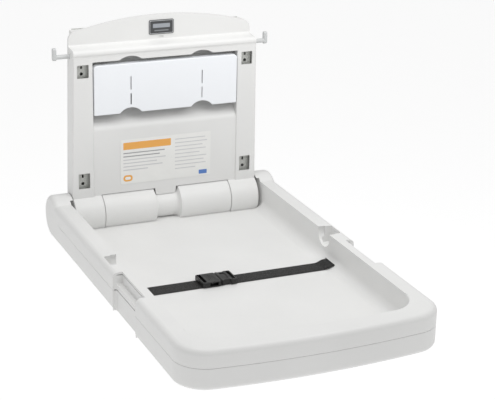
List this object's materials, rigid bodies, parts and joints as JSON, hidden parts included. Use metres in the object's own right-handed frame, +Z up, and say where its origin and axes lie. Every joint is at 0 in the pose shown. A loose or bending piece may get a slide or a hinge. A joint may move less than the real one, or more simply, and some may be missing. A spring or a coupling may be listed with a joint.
{
  "type": "baby changing table",
  "caption": "Wall-mounted changing table with a moulded bed that folds down on a hinge rod, a safety strap, a tilting liner cover and bag hooks.",
  "frame": {"origin": "on the wall face, on the centre line, at the height of the hinge axis", "axes": "+X to the right facing the wall, +Y into the wall, +Z up; the open bed reaches out along -Y"},
  "size_m": [0.643, 1.068, 0.585],
  "materials": {
    "housing_plastic": "moulded light grey, fine texture",
    "bed_plastic": "moulded light grey, fine texture",
    "cover_plastic": "smooth cool white",
    "zinc_steel": "zinc plated sheet",
    "hook_metal": "satin grey",
    "bright_steel": "turned steel",
    "nylon": "natural nylon",
    "webbing": "woven black webbing",
    "buckle_plastic": "moulded black, satin",
    "label_print": "printed film",
    "badge_finish": "glossy badge"
  },
  "bodies": {
    "wall_unit": {"wall_housing": "housing_plastic", "wall_plate": "zinc_steel", "upright_left": "zinc_steel", "upright_right": "zinc_steel", "hinge_rod": "bright_steel", "bag_hook_left": "hook_metal", "bag_hook_right": "hook_metal", "badge": "badge_finish", "instruction_label": "label_print", "door_pin_left": "bright_steel", "door_pin_right": "bright_steel"},
    "bed": {"bed_upper_shell": "bed_plastic", "bed_lower_shell": "bed_plastic", "shell_screw_1": "bright_steel", "shell_screw_2": "bright_steel", "shell_screw_3": "bright_steel", "shell_screw_4": "bright_steel", "shell_screw_5": "bright_steel", "shell_screw_6": "bright_steel", "bush_inner_left": "nylon", "bush_inner_right": "nylon", "bush_outer_left": "nylon", "bush_outer_right": "nylon", "strap_left": "webbing", "strap_right": "webbing", "strap_anchor_left": "bright_steel", "strap_anchor_right": "bright_steel", "buckle_socket": "buckle_plastic"},
    "cover": {"dispenser_door": "cover_plastic"},
    "plug": {"buckle_plug": "buckle_plastic"},
    "prong_front": {"prong_front": "buckle_plastic"},
    "prong_rear": {"prong_rear": "buckle_plastic"}
  },
  "joints": [
    {"name": "bed_fold", "type": "hinge", "parent": "wall_unit", "child": "bed", "pos_m": [0, -0.062, 0], "axis": [-1, 0, 0], "range_deg": [0, 90]},
    {"name": "cover_tilt", "type": "hinge", "parent": "wall_unit", "child": "cover", "pos_m": [0, -0.079, 0.283], "axis": [-1, 0, 0], "range_deg": [-75, 0]},
    {"name": "buckle_release", "type": "slide", "parent": "bed", "child": "plug", "axis": [1, 0, 0], "range_m": [0, 0.04]},
    {"name": "prong_front_squeeze", "type": "hinge", "parent": "plug", "child": "prong_front", "pos_m": [-0.041, -0.572, -0.0245], "axis": [0, 0, -1], "range_deg": [0, 8], "stiffness_Nm_per_rad": 0.25},
    {"name": "prong_rear_squeeze", "type": "hinge", "parent": "plug", "child": "prong_rear", "pos_m": [-0.041, -0.54, -0.0245], "axis": [0, 0, 1], "range_deg": [0, 8], "stiffness_Nm_per_rad": 0.25}
  ]
}
